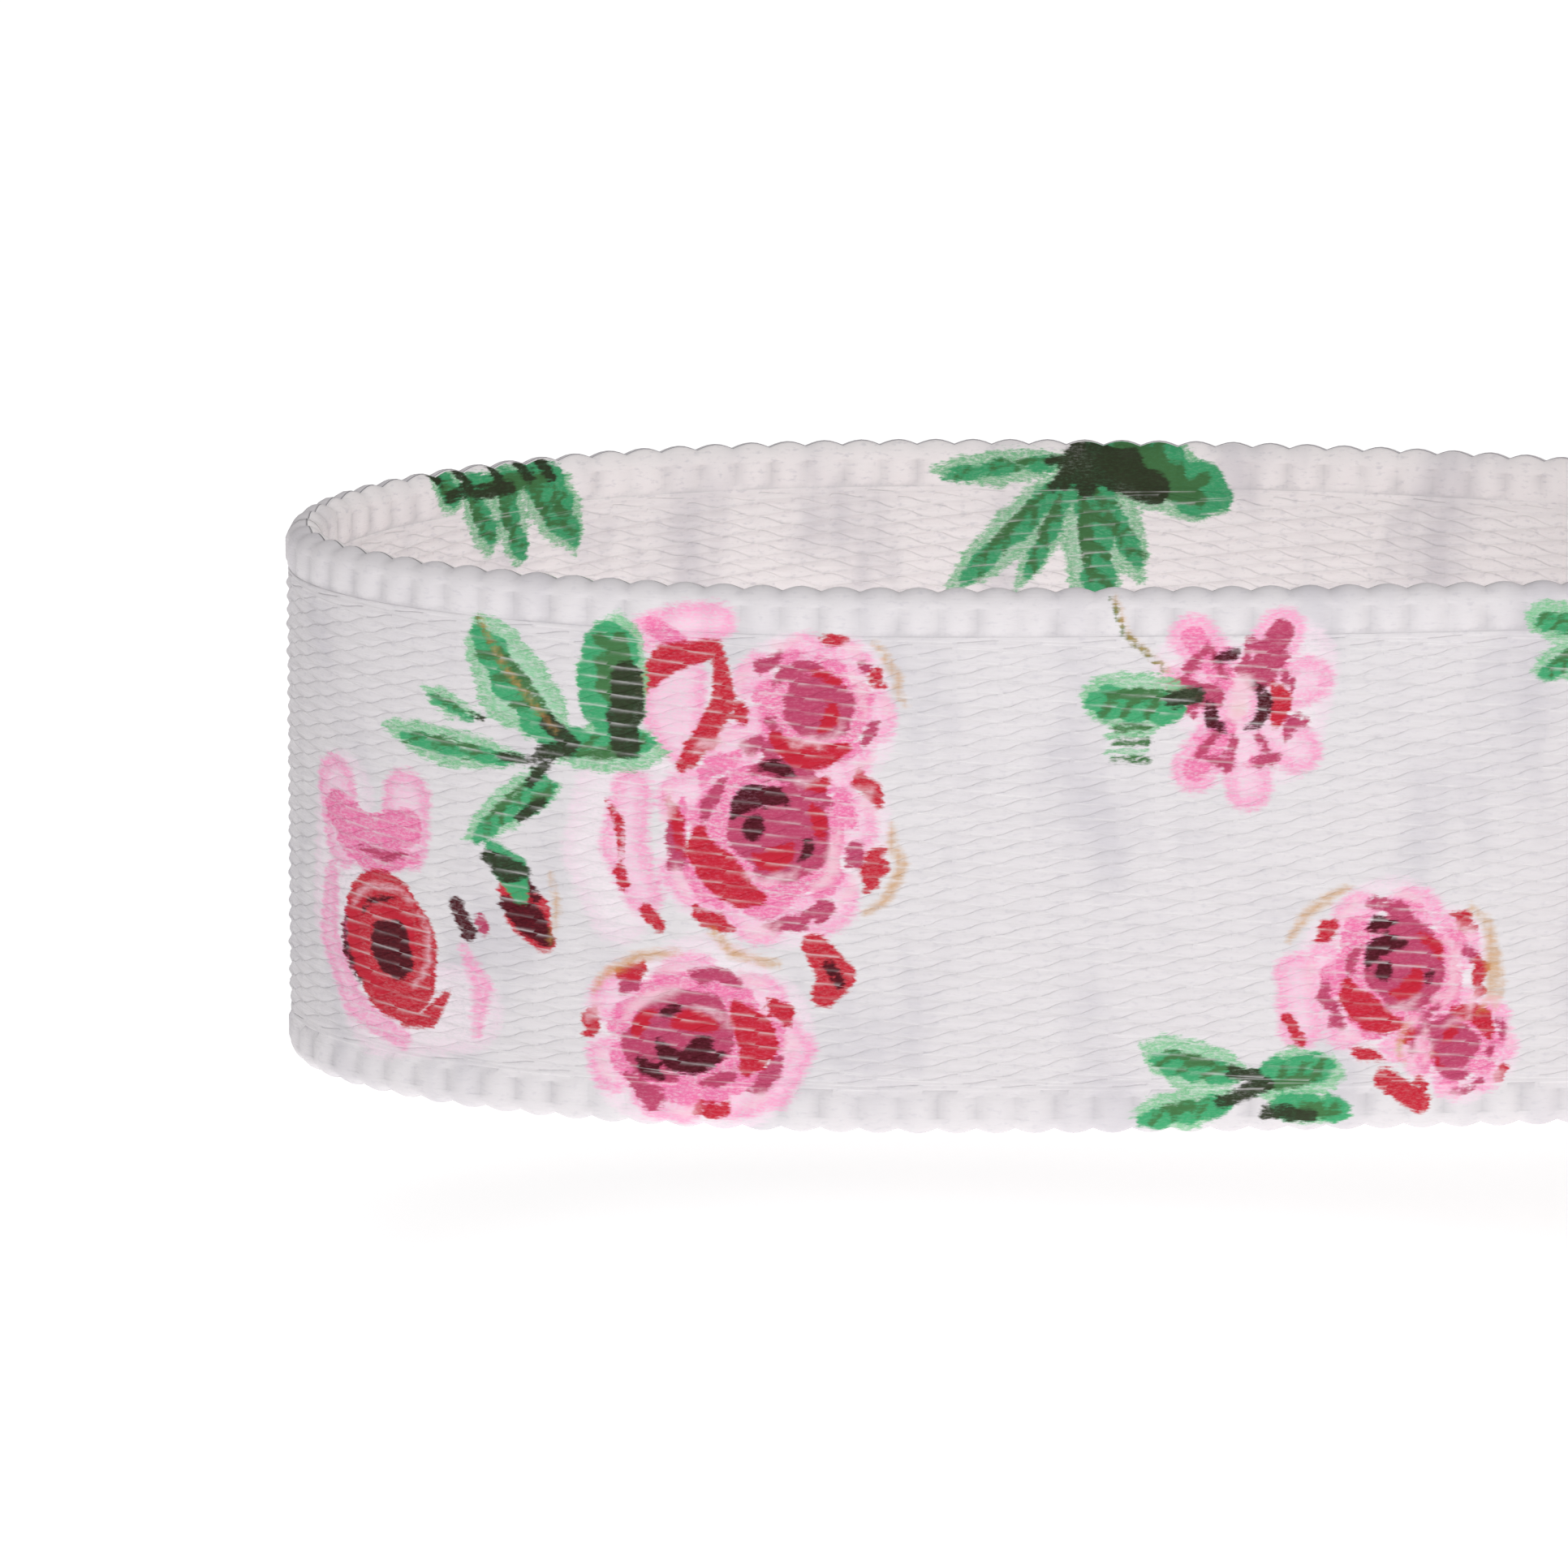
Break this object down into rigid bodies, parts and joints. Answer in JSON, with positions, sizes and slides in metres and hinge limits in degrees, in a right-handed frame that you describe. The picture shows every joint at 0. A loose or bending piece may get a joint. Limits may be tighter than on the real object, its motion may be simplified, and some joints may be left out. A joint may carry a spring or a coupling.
{
  "type": "wrist pin cushion",
  "caption": "Stuffed dome for pins in a moulded tray, on a printed woven ribbon band that swings open on a pin and closes with hook and loop tape.",
  "frame": {"origin": "centre of the face that bears on the wrist: on the axis of the cushion and at mid width of the ribbon", "axes": "+X out of the wrist along the cushion's axis, +Z along the wrist through the band, +Y towards the end that closes"},
  "size_m": [0.0987, 0.0506, 0.0506],
  "materials": {
    "ribbon": "satin",
    "sewing_thread": "twisted",
    "fastening_tape": "napped",
    "moulded_plastic": "satin",
    "nickel_steel": "nickel plated",
    "felt": "matte",
    "guard_plastic": "satin",
    "stuffing": "loose fibre",
    "printed_cotton": "matte",
    "trim_cord": "twisted satin"
  },
  "bodies": {
    "base": {"back_plate": "moulded_plastic", "band_pin": "nickel_steel", "plate_screw_1": "nickel_steel", "plate_screw_2": "nickel_steel", "plate_screw_3": "nickel_steel", "plate_screw_4": "nickel_steel", "loop_tape": "fastening_tape", "felt_pad_upper": "felt", "felt_pad_lower": "felt", "tray": "moulded_plastic", "needle_guard": "guard_plastic", "filling": "stuffing", "cushion_cover": "printed_cotton", "gather_cord": "sewing_thread", "trim_cord": "trim_cord"},
    "band": {"ribbon": "ribbon", "fold_stitches": "sewing_thread"},
    "closure": {"ribbon_tail": "ribbon", "hook_tape": "fastening_tape"}
  },
  "joints": [
    {"name": "band_swing", "type": "hinge", "parent": "base", "child": "band", "pos_m": [0.00091, -0.00958, 0], "axis": [0, 0, 1], "range_deg": [0, 75]},
    {"name": "tail_peel", "type": "hinge", "parent": "band", "child": "closure", "pos_m": [0.0007, 0.0067, 0], "axis": [0, 0, -1], "range_deg": [0, 70]}
  ]
}
